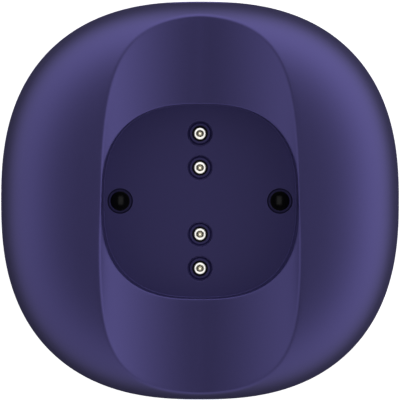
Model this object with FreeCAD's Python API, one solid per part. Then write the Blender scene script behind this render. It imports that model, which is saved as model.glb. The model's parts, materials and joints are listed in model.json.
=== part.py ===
"""Charging dock for an electric toothbrush, as separate parts in millimetres.

A squarish pebble-shaped body stands on a rubber ring. A shallow channel crosses its top from back to
front, for the handle to lie in, and a square-round pocket in the middle of the channel holds the four
sprung charging contacts and two glossy locating studs. Power comes in through a small socket at the back.

Frame: +Z up, +X to the right, +Y to the back where the inlet is. The origin is on the table, under the
middle of the body.
"""
import FreeCAD, Part
import math
import os

from FreeCAD import Vector

# ---- body outline and dome -----------------------------------------------------------------------
BODY_WIDTH = 66.0            # overall width and depth at the widest level
BODY_SQUARENESS = 2.47       # 2 is a circle, higher is squarer
WIDEST_LEVEL = 9.0           # height of the widest level above the table
DOME_HEIGHT = 20.0           # from the widest level to where an uncut dome would end
DOME_FULLNESS = 3.9          # 2 is an ellipse in side view, higher has squarer shoulders
SHELL_WALL = 2.0
UNDERSIDE_INSET = 7.0        # how far the underside curves in, from the widest level to the flat base
UNDERSIDE_FULLNESS = 2.0
GROUND_CLEARANCE = 1.0       # flat base above the table
HOUSING_FLOOR = 2.0
PARTING_GAP = 0.2            # shadow line between the two shells

# ---- channel across the top ----------------------------------------------------------------------
CHANNEL_HALF_WIDTH = 17.5
CHANNEL_FLOOR_HEIGHT = 13.1  # above the widest level, at the middle of the body
CHANNEL_RISE = 8.64          # from the channel's floor to where its sides turn upright
CHANNEL_FULLNESS = 1.585
CHANNEL_SLOPE = 1.74         # degrees, falling towards the front so that water runs off

# ---- pocket in the channel -----------------------------------------------------------------------
POCKET_WIDTH = 32.0          # at the channel's floor level
POCKET_SQUARENESS = 2.6
POCKET_DEPTH = 5.1
POCKET_DRAFT = 1.5           # degrees
POCKET_FLOOR_RADIUS = 0.4
POCKET_FLOOR = 2.0           # thickness of the floor under the pocket

# ---- charging contacts ---------------------------------------------------------------------------
CONTACT_MARGIN = 4.85        # outer contacts in from the pocket's side
CONTACT_PITCH = 5.65         # between the two contacts of a pair, along Y
CONTACT_RECESS_DIAMETER = 4.0
CONTACT_RECESS_DEPTH = 0.5
BARREL_DIAMETER = 2.0
BARREL_HOLE_CLEARANCE = 0.15  # radial, barrel to shell
BARREL_BORE_DIAMETER = 1.5
BARREL_LIP = 0.4             # thickness of the turned-in mouth
BARREL_RIM_RADIUS = 0.16
TAIL_DIAMETER = 0.7
TAIL_BELOW_BOARD = 0.7
TIP_DIAMETER = 0.96
TIP_DOME_RADIUS = 0.22       # rounding of the tip's end
TIP_PROUD = 1.0              # tip above the pocket's floor at rest
TIP_TRAVEL = 0.9
RUNNING_CLEARANCE = 0.05     # radial, plunger to barrel
SHOULDER_LENGTH = 1.6
PILOT_DIAMETER = 0.6
PILOT_LENGTH = 0.8
SPRING_WIRE = 0.2
SPRING_TURNS = 6
SPRING_RESERVE = 0.5         # space left between the turns when a tip is pressed right in
SEAL_DIAMETER = 3.4
SEAL_HEIGHT = 0.8

# ---- locating studs and holding magnets ----------------------------------------------------------
STUD_MARGIN = 2.8            # studs in from the pocket's side, along X
STUD_HEAD_DIAMETER = 3.2
STUD_RECESS_DIAMETER = 4.0
STUD_RECESS_DEPTH = 0.8
STUD_PROUD = 0.45            # crown above the pocket's floor
STUD_CROWN = 0.12            # height of the domed part of the head
STUD_STEM_DIAMETER = 1.7
MAGNET_DIAMETER = 6.0
MAGNET_HEIGHT = 2.0
MAGNET_RING_WALL = 0.9

# ---- board and what stands on it -----------------------------------------------------------------
BOARD_THICKNESS = 1.6
BOARD_SIDE_CLEARANCE = 0.8   # to the screw bosses
BOARD_FRONT_MARGIN = 4.85    # board past the front contact
BOARD_MAIN_BACK = 20.0       # where the board narrows to its tail
BOARD_TAIL_HALF_WIDTH = 6.5
BOARD_CORNER = 1.5
BOARD_EDGE_CLEARANCE = 0.85
STANDOFF_HEIGHT = 3.4        # from the pocket's floor down to the board
STANDOFF_DIAMETER = 3.6
STANDOFF_MARGIN_X = 7.0      # in from the pocket's side
STANDOFF_MARGIN_Y = 3.0
BOARD_SCREW_DIAMETER = 2.0
BOARD_SCREW_HEAD = 3.4
BOARD_SCREW_HEAD_HEIGHT = 1.3
CHIP_SIZE = (4.0, 4.0, 0.9)
CHIP_PLACE = (-5.0, 18.0)
COIL_SIZE = (4.2, 4.2, 2.0)
COIL_PLACE = (5.5, 17.4)
CAPACITOR_SIZE = (1.6, 0.8, 0.8)
CAPACITOR_PLACES = ((-1.6, 20.6), (-1.6, 18.6), (1.2, 20.6), (1.2, 18.6), (-5.5, -8.0), (5.5, -8.0))

# ---- power inlet ---------------------------------------------------------------------------------
SOCKET_WIDTH = 8.94
SOCKET_HEIGHT = 3.26
SOCKET_LENGTH = 7.35
SOCKET_METAL = 0.3
SOCKET_BACK_WALL = 0.8
TONGUE_WIDTH = 6.69
TONGUE_THICKNESS = 0.7
TONGUE_LENGTH = 5.6
SOCKET_CLEARANCE = 0.15
PLUG_RECESS_WIDTH = 13.0
PLUG_RECESS_HEIGHT = 7.0
PLUG_RECESS_DEPTH = 1.0
RECESS_ROUNDING = 0.49       # corner radius, as a share of the height
SOCKET_ROUNDING = 0.45

# ---- joining the shells --------------------------------------------------------------------------
LIP_THICKNESS = 1.0
LIP_HEIGHT = 2.0             # above the parting line
LIP_ROOT = 3.0               # below the parting line
LIP_CLEARANCE = 0.15
SEAL_CORD = 0.65             # square section of the seal round the lip
BOSS_DIAMETER = 4.4
BOSS_MARGIN_X = 2.0          # in from the pocket's side
BOSS_SHARE_Y = 0.5           # of the pocket's half width
PILLAR_DIAMETER = 6.4
PILLAR_TOP_GAP = 0.1
BOSS_CLEARANCE = 0.3         # boss ends above the weight
SCREW_DIAMETER = 2.6
SCREW_HEAD_DIAMETER = 4.0
SCREW_HEAD_HEIGHT = 1.5
SCREW_LENGTH = 8.0
SCREW_WELL_DEPTH = 2.6
SCREW_CLEARANCE = 0.15

# ---- weight and foot -----------------------------------------------------------------------------
PAD_THICKNESS = 0.8
BALLAST_THICKNESS = 3.0
BALLAST_MARGIN = 2.0         # from the flat inside floor's edge
BALLAST_CLEARANCE = 0.4      # round the pillars
FOOT_WIDTH = 1.8
FOOT_MARGIN = 0.6            # from the flat base's edge
FOOT_GROOVE_DEPTH = 0.8

# ---- screw heads, as shares of the head ----------------------------------------------------------
HEAD_ROUNDING = 0.45
CROSS_DEPTH = 0.6
CROSS_LENGTH = 0.55
CROSS_WIDTH = 0.13

# ---- modelling constants -------------------------------------------------------------------------
OUTLINE_POINTS = 48          # round a closed outline
DOME_SIDE_SECTIONS = 7       # up the dome's side, to where it leans at half a right angle
DOME_TOP_SECTIONS = 5        # from there to the flat cap
BOWL_SECTIONS = 8
CHANNEL_POINTS = 9           # on each half of the channel's section
CORNER_SECTIONS = 6          # round the foot of the pocket's side
CAP_RATIO = 0.45             # a dome's flat cap, which lies inside the channel and is cut away
REACH = 200.0                # longer than the body, for tools that cut right through
OVERCUT = 1.0                # how far a cutting tool runs past the face it starts from
EPSILON = 0.01

# ---- levels and places worked out from the sizes above -------------------------------------------
HALF = BODY_WIDTH / 2
POCKET_HALF = POCKET_WIDTH / 2
INNER_HALF = HALF - SHELL_WALL
BASE_HALF = HALF - UNDERSIDE_INSET
INNER_BASE_HALF = INNER_HALF - UNDERSIDE_INSET
CHANNEL_FLOOR_Z = WIDEST_LEVEL + CHANNEL_FLOOR_HEIGHT
POCKET_FLOOR_Z = CHANNEL_FLOOR_Z - POCKET_DEPTH
POCKET_UNDERSIDE_Z = POCKET_FLOOR_Z - POCKET_FLOOR
OUTER_CONTACT = POCKET_HALF - CONTACT_MARGIN
INNER_CONTACT = OUTER_CONTACT - CONTACT_PITCH
CONTACT_OFFSETS = (-OUTER_CONTACT, -INNER_CONTACT, INNER_CONTACT, OUTER_CONTACT)
STUD_OFFSET = POCKET_HALF - STUD_MARGIN
BOSS_X = POCKET_HALF - BOSS_MARGIN_X
BOSS_Y = POCKET_HALF * BOSS_SHARE_Y
STANDOFF_X = POCKET_HALF - STANDOFF_MARGIN_X
STANDOFF_Y = POCKET_HALF - STANDOFF_MARGIN_Y
BOARD_HALF_WIDTH = BOSS_X - BOSS_DIAMETER / 2 - BOARD_SIDE_CLEARANCE
BOARD_TOP_Z = POCKET_UNDERSIDE_Z - STANDOFF_HEIGHT
BOARD_BOTTOM_Z = BOARD_TOP_Z - BOARD_THICKNESS
HOUSING_FLOOR_Z = GROUND_CLEARANCE + HOUSING_FLOOR
PAD_TOP_Z = HOUSING_FLOOR_Z + PAD_THICKNESS
BALLAST_TOP_Z = PAD_TOP_Z + BALLAST_THICKNESS
BOSS_BOTTOM_Z = BALLAST_TOP_Z + BOSS_CLEARANCE
PILLAR_TOP_Z = BOSS_BOTTOM_Z - PILLAR_TOP_GAP
SCREW_SEAT_Z = GROUND_CLEARANCE + SCREW_WELL_DEPTH
LIP_OUTER_HALF = INNER_HALF - LIP_CLEARANCE
LIP_INNER_HALF = LIP_OUTER_HALF - LIP_THICKNESS
SOCKET_CENTRE_Z = BOARD_TOP_Z + SOCKET_HEIGHT / 2
SOCKET_FACE_Y = HALF - PLUG_RECESS_DEPTH
BOARD_BACK_Y = LIP_INNER_HALF - BOARD_EDGE_CLEARANCE
BOARD_FRONT_Y = CONTACT_OFFSETS[0] - BOARD_FRONT_MARGIN
BORE_TOP_Z = POCKET_FLOOR_Z - BARREL_LIP
SHOULDER_BOTTOM_Z = BORE_TOP_Z - SHOULDER_LENGTH
SPRING_LENGTH = TIP_TRAVEL + (SPRING_TURNS + 1) * SPRING_WIRE + SPRING_RESERVE
SPRING_BOTTOM_Z = SHOULDER_BOTTOM_Z - SPRING_LENGTH
UP = Vector(0, 0, 1)
BACK = Vector(0, 1, 0)


# ---- shared shapes -------------------------------------------------------------------------------
def superellipse_wire(half, squareness, z):
    """A closed smooth outline, squarer than a circle, on the level z."""
    points = []
    for step in range(OUTLINE_POINTS):
        angle = 2 * math.pi * step / OUTLINE_POINTS
        across = abs(math.cos(angle)) ** squareness
        along = abs(math.sin(angle)) ** squareness
        radius = half / (across + along) ** (1 / squareness)
        points.append(Vector(radius * math.cos(angle), radius * math.sin(angle), z))
    curve = Part.BSplineCurve()
    curve.interpolate(Points=points, PeriodicFlag=True)
    return Part.Wire([curve.toShape()])


def prism(half, squareness, low, high):
    """An upright block with a superellipse outline."""
    face = Part.Face(superellipse_wire(half, squareness, low))
    return face.extrude(Vector(0, 0, high - low))


def ring(outer_half, inner_half, squareness, low, high):
    outer = prism(outer_half, squareness, low, high)
    return outer.cut(prism(inner_half, squareness, low - OVERCUT, high + OVERCUT))


def cylinder(diameter, low, high, x=0.0, y=0.0):
    return Part.makeCylinder(diameter / 2, high - low, Vector(x, y, low), UP)


def block(size_x, size_y, size_z, centre_x, centre_y, low):
    corner = Vector(centre_x - size_x / 2, centre_y - size_y / 2, low)
    return Part.makeBox(size_x, size_y, size_z, corner)


def dome(half, height):
    """The upper body: full upright sides that turn over into a nearly level top."""
    corner = 0.5 ** (1 / DOME_FULLNESS)
    levels = [corner * step / DOME_SIDE_SECTIONS for step in range(DOME_SIDE_SECTIONS + 1)]
    ratios = [(1 - level ** DOME_FULLNESS) ** (1 / DOME_FULLNESS) for level in levels]
    for step in range(1, DOME_TOP_SECTIONS + 1):
        ratio = corner + (CAP_RATIO - corner) * step / DOME_TOP_SECTIONS
        ratios.append(ratio)
        levels.append((1 - ratio ** DOME_FULLNESS) ** (1 / DOME_FULLNESS))
    wires = []
    for ratio, level in zip(ratios, levels):
        wires.append(superellipse_wire(half * ratio, BODY_SQUARENESS, WIDEST_LEVEL + height * level))
    return Part.makeLoft(wires, True, False)


def bowl(half, flat_half, bottom):
    """The lower body, from the flat base up to the widest level."""
    wires = []
    depth = WIDEST_LEVEL - bottom
    for step in range(BOWL_SECTIONS + 1):
        angle = math.pi / 2 * step / BOWL_SECTIONS
        level = WIDEST_LEVEL - depth * math.cos(angle) ** (2 / UNDERSIDE_FULLNESS)
        inset = (half - flat_half) * (1 - math.sin(angle) ** (2 / UNDERSIDE_FULLNESS))
        wires.append(superellipse_wire(half - inset, BODY_SQUARENESS, level))
    return Part.makeLoft(wires, True, False)


def channel_height(x, half_width):
    """Height of the channel's surface above its own floor."""
    share = 1 - (abs(x) / half_width) ** CHANNEL_FULLNESS
    return CHANNEL_RISE * (1 - max(share, 0.0) ** (1 / CHANNEL_FULLNESS))


def channel_tool(extra):
    """Everything above the channel's surface, which is moved outwards and down by extra."""
    half_width = CHANNEL_HALF_WIDTH + extra
    start = -REACH / 2
    rise = math.tan(math.radians(CHANNEL_SLOPE))
    floor = CHANNEL_FLOOR_Z - extra + rise * start
    right = []
    for step in range(1, CHANNEL_POINTS + 1):
        x = half_width * math.sin(math.pi / 2 * step / CHANNEL_POINTS)
        right.append(Vector(x, start, floor + channel_height(x, half_width)))
    left = [Vector(-point.x, point.y, point.z) for point in reversed(right)]
    curve = Part.BSplineCurve()
    curve.interpolate(Points=left + [Vector(0, start, floor)] + right)
    top = floor + REACH / 2
    top_left = Vector(-half_width, start, top)
    top_right = Vector(half_width, start, top)
    edges = [
        curve.toShape(),
        Part.makeLine(right[-1], top_right),
        Part.makeLine(top_right, top_left),
        Part.makeLine(top_left, left[0]),
    ]
    face = Part.Face(Part.Wire(edges))
    return face.extrude(Vector(0, REACH, REACH * rise))


def pocket_tool(extra_width, floor_z, floor_radius):
    """The pocket's space: sides that lean out a little, and a rounded corner round the floor."""
    lean = math.tan(math.radians(POCKET_DRAFT))
    top = WIDEST_LEVEL + DOME_HEIGHT + POCKET_DEPTH
    half = POCKET_HALF + extra_width
    corner_top = floor_z + floor_radius
    wires = []
    for level in (corner_top, top):
        wires.append(superellipse_wire(half + (level - CHANNEL_FLOOR_Z) * lean, POCKET_SQUARENESS, level))
    tool = Part.makeLoft(wires, True, True)
    if floor_radius <= 0:
        return tool
    wires = []
    corner_half = half + (corner_top - CHANNEL_FLOOR_Z) * lean
    for step in range(CORNER_SECTIONS + 1):
        angle = math.pi / 2 * step / CORNER_SECTIONS
        inset = floor_radius * (1 - math.sin(angle))
        level = corner_top - floor_radius * math.cos(angle)
        wires.append(superellipse_wire(corner_half - inset, POCKET_SQUARENESS, level))
    return tool.fuse(Part.makeLoft(wires, True, False))


def mirrored_places(x, y):
    return [(side * x, end * y) for side in (-1, 1) for end in (-1, 1)]


def rounded_box(width, height, length, centre_z, start_y, radius):
    """A block along Y whose section has rounded corners."""
    box = Part.makeBox(width, length, height, Vector(-width / 2, start_y, centre_z - height / 2))
    long_edges = [edge for edge in box.Edges if edge.BoundBox.YLength > length - EPSILON]
    return box.makeFillet(radius, long_edges)


def screw(x, y, seat_z, diameter, length, head_diameter, head_height):
    """A pan-head screw driven upwards, with a cross recess in its head."""
    bottom = seat_z - head_height
    shank = cylinder(diameter, seat_z, seat_z + length, x, y)
    head = cylinder(head_diameter, bottom, seat_z, x, y)
    rim = [edge for edge in head.Edges if edge.BoundBox.ZMax < bottom + EPSILON]
    head = head.makeFillet(head_height * HEAD_ROUNDING, rim)
    slot_depth = head_height * CROSS_DEPTH
    slot_length = head_diameter * CROSS_LENGTH
    slot_width = head_diameter * CROSS_WIDTH
    head = head.cut(block(slot_length, slot_width, slot_depth, x, y, bottom - EPSILON))
    head = head.cut(block(slot_width, slot_length, slot_depth, x, y, bottom - EPSILON))
    return shank.fuse(head)


# ---- power inlet, used by both shells ------------------------------------------------------------
def inlet_tools():
    """The plug's recess in the outside of the wall, and the opening that the socket stands in."""
    recess = rounded_box(
        PLUG_RECESS_WIDTH, PLUG_RECESS_HEIGHT, REACH, SOCKET_CENTRE_Z, SOCKET_FACE_Y,
        PLUG_RECESS_HEIGHT * RECESS_ROUNDING,
    )
    width = SOCKET_WIDTH + 2 * SOCKET_CLEARANCE
    height = SOCKET_HEIGHT + 2 * SOCKET_CLEARANCE
    start = SOCKET_FACE_Y - SOCKET_LENGTH
    opening = rounded_box(width, height, REACH, SOCKET_CENTRE_Z, start, height * RECESS_ROUNDING)
    return recess.fuse(opening)


# ---- shells --------------------------------------------------------------------------------------
def outer_body():
    """The dome with the channel and the pocket cut into it."""
    body = dome(HALF, DOME_HEIGHT).cut(channel_tool(0.0))
    return body.cut(pocket_tool(0.0, POCKET_FLOOR_Z, POCKET_FLOOR_RADIUS))


def upper_shell():
    cavity = dome(INNER_HALF, DOME_HEIGHT - SHELL_WALL)
    cavity = cavity.fuse(prism(INNER_HALF, BODY_SQUARENESS, WIDEST_LEVEL - OVERCUT, WIDEST_LEVEL + EPSILON))
    cavity = cavity.cut(channel_tool(SHELL_WALL))
    cavity = cavity.cut(pocket_tool(SHELL_WALL, POCKET_UNDERSIDE_Z, 0))
    shell = outer_body().cut(cavity)
    low = WIDEST_LEVEL - OVERCUT
    shell = shell.cut(prism(HALF + OVERCUT, BODY_SQUARENESS, low, WIDEST_LEVEL + PARTING_GAP / 2))
    root = POCKET_UNDERSIDE_Z + POCKET_FLOOR / 2
    added = []
    for x, y in mirrored_places(BOSS_X, BOSS_Y):
        added.append(cylinder(BOSS_DIAMETER, BOSS_BOTTOM_Z, root, x, y))
    for x, y in mirrored_places(STANDOFF_X, STANDOFF_Y):
        added.append(cylinder(STANDOFF_DIAMETER, BOARD_TOP_Z, root, x, y))
    for side in (-1, 1):
        outside = MAGNET_DIAMETER + 2 * (MAGNET_RING_WALL + RUNNING_CLEARANCE)
        low = POCKET_UNDERSIDE_Z - MAGNET_HEIGHT
        added.append(cylinder(outside, low, root, side * STUD_OFFSET, 0))
    shell = shell.fuse(added)
    return shell.cut(shell_holes())


def shell_holes():
    """Every hole that is cut in the finished upper shell."""
    holes = [inlet_tools()]
    above = POCKET_FLOOR_Z + OVERCUT
    for y in CONTACT_OFFSETS:
        hole = BARREL_DIAMETER + 2 * BARREL_HOLE_CLEARANCE
        seat = SEAL_DIAMETER + 2 * RUNNING_CLEARANCE
        holes.append(cylinder(CONTACT_RECESS_DIAMETER, POCKET_FLOOR_Z - CONTACT_RECESS_DEPTH, above, 0, y))
        holes.append(cylinder(hole, POCKET_UNDERSIDE_Z - OVERCUT, above, 0, y))
        holes.append(cylinder(seat, POCKET_UNDERSIDE_Z - OVERCUT, POCKET_UNDERSIDE_Z + SEAL_HEIGHT, 0, y))
    for side in (-1, 1):
        x = side * STUD_OFFSET
        stem = STUD_STEM_DIAMETER + 2 * RUNNING_CLEARANCE
        magnet = MAGNET_DIAMETER + 2 * RUNNING_CLEARANCE
        low = POCKET_UNDERSIDE_Z - MAGNET_HEIGHT - OVERCUT
        holes.append(cylinder(STUD_RECESS_DIAMETER, POCKET_FLOOR_Z - STUD_RECESS_DEPTH, above, x, 0))
        holes.append(cylinder(stem, low, above, x, 0))
        holes.append(cylinder(magnet, low, POCKET_UNDERSIDE_Z, x, 0))
    for x, y in mirrored_places(BOSS_X, BOSS_Y):
        top = SCREW_SEAT_Z + SCREW_LENGTH + SCREW_CLEARANCE
        holes.append(cylinder(SCREW_DIAMETER, BOSS_BOTTOM_Z - OVERCUT, top, x, y))
    for x, y in mirrored_places(STANDOFF_X, STANDOFF_Y):
        holes.append(cylinder(BOARD_SCREW_DIAMETER, BOARD_TOP_Z - OVERCUT, POCKET_UNDERSIDE_Z, x, y))
    return holes


def lower_housing():
    top = WIDEST_LEVEL - PARTING_GAP / 2
    outside = bowl(HALF, BASE_HALF, GROUND_CLEARANCE)
    inside = bowl(INNER_HALF, INNER_BASE_HALF, HOUSING_FLOOR_Z)
    housing = outside.cut(inside)
    root = ring(HALF, LIP_INNER_HALF, BODY_SQUARENESS, WIDEST_LEVEL - LIP_ROOT, WIDEST_LEVEL)
    housing = housing.fuse(root.common(outside))
    housing = housing.cut(prism(HALF + OVERCUT, BODY_SQUARENESS, top, WIDEST_LEVEL + OVERCUT))
    lip_top = WIDEST_LEVEL + LIP_HEIGHT
    lip = ring(LIP_OUTER_HALF, LIP_INNER_HALF, BODY_SQUARENESS, top - LIP_ROOT / 2, lip_top)
    groove_low = WIDEST_LEVEL + (LIP_HEIGHT - SEAL_CORD) / 2
    groove = ring(HALF, INNER_HALF - SEAL_CORD, BODY_SQUARENESS, groove_low, groove_low + SEAL_CORD)
    housing = housing.fuse(lip).cut(groove)
    for x, y in mirrored_places(BOSS_X, BOSS_Y):
        pillar = cylinder(PILLAR_DIAMETER, GROUND_CLEARANCE + HOUSING_FLOOR / 2, PILLAR_TOP_Z, x, y)
        housing = housing.fuse(pillar)
    cuts = [inlet_tools()]
    for x, y in mirrored_places(BOSS_X, BOSS_Y):
        well = SCREW_HEAD_DIAMETER + 2 * SCREW_CLEARANCE
        hole = SCREW_DIAMETER + 2 * SCREW_CLEARANCE
        cuts.append(cylinder(well, GROUND_CLEARANCE - OVERCUT, SCREW_SEAT_Z, x, y))
        cuts.append(cylinder(hole, GROUND_CLEARANCE, PILLAR_TOP_Z + OVERCUT, x, y))
    outer = BASE_HALF - FOOT_MARGIN
    groove_top = GROUND_CLEARANCE + FOOT_GROOVE_DEPTH
    cuts.append(ring(outer, outer - FOOT_WIDTH, BODY_SQUARENESS, GROUND_CLEARANCE - OVERCUT, groove_top))
    return housing.cut(cuts)


def parting_seal():
    low = WIDEST_LEVEL + (LIP_HEIGHT - SEAL_CORD) / 2
    outer = INNER_HALF - EPSILON
    return ring(outer, INNER_HALF - SEAL_CORD, BODY_SQUARENESS, low, low + SEAL_CORD)


def foot_ring():
    outer = BASE_HALF - FOOT_MARGIN
    top = GROUND_CLEARANCE + FOOT_GROOVE_DEPTH
    return ring(outer, outer - FOOT_WIDTH, BODY_SQUARENESS, 0, top)


# ---- weight --------------------------------------------------------------------------------------
def weight_plate(low, high):
    plate = prism(INNER_BASE_HALF - BALLAST_MARGIN, BODY_SQUARENESS, low, high)
    for x, y in mirrored_places(BOSS_X, BOSS_Y):
        hole = PILLAR_DIAMETER + 2 * BALLAST_CLEARANCE
        plate = plate.cut(cylinder(hole, low - OVERCUT, high + OVERCUT, x, y))
    return plate


# ---- charging contacts ---------------------------------------------------------------------------
def top_edges(shape, level):
    return [edge for edge in shape.Edges if edge.BoundBox.ZMin > level - EPSILON]


def pin_barrel(y):
    """The fixed tube of a contact, with its mouth turned in and a solder tail through the board."""
    mouth = TIP_DIAMETER + 2 * RUNNING_CLEARANCE
    barrel = cylinder(BARREL_DIAMETER, BOARD_TOP_Z, POCKET_FLOOR_Z, 0, y)
    barrel = barrel.makeFillet(BARREL_RIM_RADIUS, top_edges(barrel, POCKET_FLOOR_Z))
    tail_end = BOARD_BOTTOM_Z - TAIL_BELOW_BOARD
    barrel = barrel.fuse(cylinder(TAIL_DIAMETER, tail_end, BOARD_TOP_Z + EPSILON, 0, y))
    barrel = barrel.cut(cylinder(BARREL_BORE_DIAMETER, SPRING_BOTTOM_Z, BORE_TOP_Z, 0, y))
    return barrel.cut(cylinder(mouth, BORE_TOP_Z - EPSILON, POCKET_FLOOR_Z + OVERCUT, 0, y))


def pin_plunger(y):
    """The sprung tip: a domed end, a shoulder that stops against the mouth and a pilot for the spring."""
    tip_top = POCKET_FLOOR_Z + TIP_PROUD
    shoulder = BARREL_BORE_DIAMETER - 2 * RUNNING_CLEARANCE
    tip = cylinder(TIP_DIAMETER, BORE_TOP_Z, tip_top, 0, y)
    tip = tip.makeFillet(TIP_DOME_RADIUS, top_edges(tip, tip_top))
    plunger = tip.fuse(cylinder(shoulder, SHOULDER_BOTTOM_Z, BORE_TOP_Z, 0, y))
    return plunger.fuse(cylinder(PILOT_DIAMETER, SHOULDER_BOTTOM_Z - PILOT_LENGTH, SHOULDER_BOTTOM_Z, 0, y))


def pin_spring(y):
    radius = BARREL_BORE_DIAMETER / 2 - RUNNING_CLEARANCE - SPRING_WIRE / 2
    height = SPRING_LENGTH - SPRING_WIRE
    low = SPRING_BOTTOM_Z + SPRING_WIRE / 2
    path = Part.makeHelix(height / SPRING_TURNS, height, radius)
    path.translate(Vector(0, y, low))
    section = Part.Wire([Part.makeCircle(SPRING_WIRE / 2, Vector(radius, y, low), BACK)])
    return Part.Wire(path.Edges).makePipeShell([section], True, True)


def pin_seal(y):
    outer = cylinder(SEAL_DIAMETER, POCKET_UNDERSIDE_Z, POCKET_UNDERSIDE_Z + SEAL_HEIGHT, 0, y)
    bore = BARREL_DIAMETER + 2 * EPSILON
    return outer.cut(cylinder(bore, POCKET_UNDERSIDE_Z - OVERCUT, POCKET_FLOOR_Z, 0, y))


# ---- studs and magnets ---------------------------------------------------------------------------
def locating_stud(x):
    seat = POCKET_FLOOR_Z - STUD_RECESS_DEPTH
    crown_base = POCKET_FLOOR_Z + STUD_PROUD - STUD_CROWN
    radius = STUD_HEAD_DIAMETER / 2
    sphere_radius = (radius ** 2 + STUD_CROWN ** 2) / (2 * STUD_CROWN)
    centre = Vector(x, 0, crown_base + STUD_CROWN - sphere_radius)
    head = cylinder(STUD_HEAD_DIAMETER, seat, crown_base + STUD_CROWN, x, 0)
    head = head.common(Part.makeSphere(sphere_radius, centre))
    return head.fuse(cylinder(STUD_STEM_DIAMETER, POCKET_UNDERSIDE_Z, seat + EPSILON, x, 0))


def holding_magnet(x):
    return cylinder(MAGNET_DIAMETER, POCKET_UNDERSIDE_Z - MAGNET_HEIGHT, POCKET_UNDERSIDE_Z, x, 0)


# ---- board ---------------------------------------------------------------------------------------
def contact_board():
    main_length = BOARD_MAIN_BACK - BOARD_FRONT_Y
    middle = BOARD_FRONT_Y + main_length / 2
    board = block(2 * BOARD_HALF_WIDTH, main_length, BOARD_THICKNESS, 0, middle, BOARD_BOTTOM_Z)
    corners = [edge for edge in board.Edges if edge.BoundBox.ZLength > BOARD_THICKNESS - EPSILON]
    board = board.makeFillet(BOARD_CORNER, corners)
    tail_length = BOARD_BACK_Y - BOARD_MAIN_BACK + BOARD_CORNER
    middle = BOARD_BACK_Y - tail_length / 2
    tail = block(2 * BOARD_TAIL_HALF_WIDTH, tail_length, BOARD_THICKNESS, 0, middle, BOARD_BOTTOM_Z)
    board = board.fuse(tail)
    low = BOARD_BOTTOM_Z - OVERCUT
    high = BOARD_TOP_Z + OVERCUT
    holes = []
    for y in CONTACT_OFFSETS:
        holes.append(cylinder(TAIL_DIAMETER + 2 * RUNNING_CLEARANCE, low, high, 0, y))
    for x, y in mirrored_places(STANDOFF_X, STANDOFF_Y):
        holes.append(cylinder(BOARD_SCREW_DIAMETER + 2 * SCREW_CLEARANCE, low, high, x, y))
    return board.cut(holes)


def board_part(size, place):
    return block(size[0], size[1], size[2], place[0], place[1], BOARD_TOP_Z)


def capacitors():
    return Part.makeCompound([board_part(CAPACITOR_SIZE, place) for place in CAPACITOR_PLACES])


def board_screws():
    length = BOARD_THICKNESS + STANDOFF_HEIGHT - SCREW_CLEARANCE
    screws = []
    for x, y in mirrored_places(STANDOFF_X, STANDOFF_Y):
        made = screw(
            x, y, BOARD_BOTTOM_Z, BOARD_SCREW_DIAMETER, length,
            BOARD_SCREW_HEAD, BOARD_SCREW_HEAD_HEIGHT,
        )
        screws.append(made)
    return Part.makeCompound(screws)


def housing_screws():
    screws = []
    for x, y in mirrored_places(BOSS_X, BOSS_Y):
        made = screw(
            x, y, SCREW_SEAT_Z, SCREW_DIAMETER, SCREW_LENGTH,
            SCREW_HEAD_DIAMETER, SCREW_HEAD_HEIGHT,
        )
        screws.append(made)
    return Part.makeCompound(screws)


# ---- power inlet ---------------------------------------------------------------------------------
def socket_shell():
    start = SOCKET_FACE_Y - SOCKET_LENGTH
    radius = SOCKET_HEIGHT * SOCKET_ROUNDING
    outer = rounded_box(SOCKET_WIDTH, SOCKET_HEIGHT, SOCKET_LENGTH, SOCKET_CENTRE_Z, start, radius)
    inner_width = SOCKET_WIDTH - 2 * SOCKET_METAL
    inner_height = SOCKET_HEIGHT - 2 * SOCKET_METAL
    radius = inner_height * SOCKET_ROUNDING
    inner = rounded_box(inner_width, inner_height, SOCKET_LENGTH, SOCKET_CENTRE_Z, start, radius)
    inner.translate(Vector(0, SOCKET_METAL, 0))
    return outer.cut(inner)


def socket_tongue():
    back = SOCKET_FACE_Y - SOCKET_LENGTH + SOCKET_METAL
    inner_width = SOCKET_WIDTH - 2 * SOCKET_METAL
    inner_height = SOCKET_HEIGHT - 2 * SOCKET_METAL
    radius = inner_height * SOCKET_ROUNDING
    body = rounded_box(inner_width, inner_height, SOCKET_BACK_WALL, SOCKET_CENTRE_Z, back, radius)
    tongue = Part.makeBox(
        TONGUE_WIDTH, TONGUE_LENGTH, TONGUE_THICKNESS,
        Vector(-TONGUE_WIDTH / 2, back + SOCKET_BACK_WALL - EPSILON, SOCKET_CENTRE_Z - TONGUE_THICKNESS / 2),
    )
    return body.fuse(tongue)


# ---- all the nodes -------------------------------------------------------------------------------
def parts():
    made = {
        "upper_shell": upper_shell(),
        "lower_housing": lower_housing(),
        "parting_seal": parting_seal(),
        "foot_ring": foot_ring(),
        "ballast_plate": weight_plate(PAD_TOP_Z, BALLAST_TOP_Z),
        "ballast_pad": weight_plate(HOUSING_FLOOR_Z, PAD_TOP_Z),
        "contact_board": contact_board(),
        "charge_controller_chip": board_part(CHIP_SIZE, CHIP_PLACE),
        "board_inductor": board_part(COIL_SIZE, COIL_PLACE),
        "board_capacitors": capacitors(),
        "board_screws": board_screws(),
        "housing_screws": housing_screws(),
        "socket_shell": socket_shell(),
        "socket_tongue": socket_tongue(),
    }
    for number, y in enumerate(CONTACT_OFFSETS, start=1):
        made["pin_barrel_%d" % number] = pin_barrel(y)
        made["pin_plunger_%d" % number] = pin_plunger(y)
        made["pin_spring_%d" % number] = pin_spring(y)
        made["pin_seal_%d" % number] = pin_seal(y)
    for name, x in (("left", -STUD_OFFSET), ("right", STUD_OFFSET)):
        made["locating_stud_" + name] = locating_stud(x)
        made["holding_magnet_" + name] = holding_magnet(x)
    return made


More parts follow.
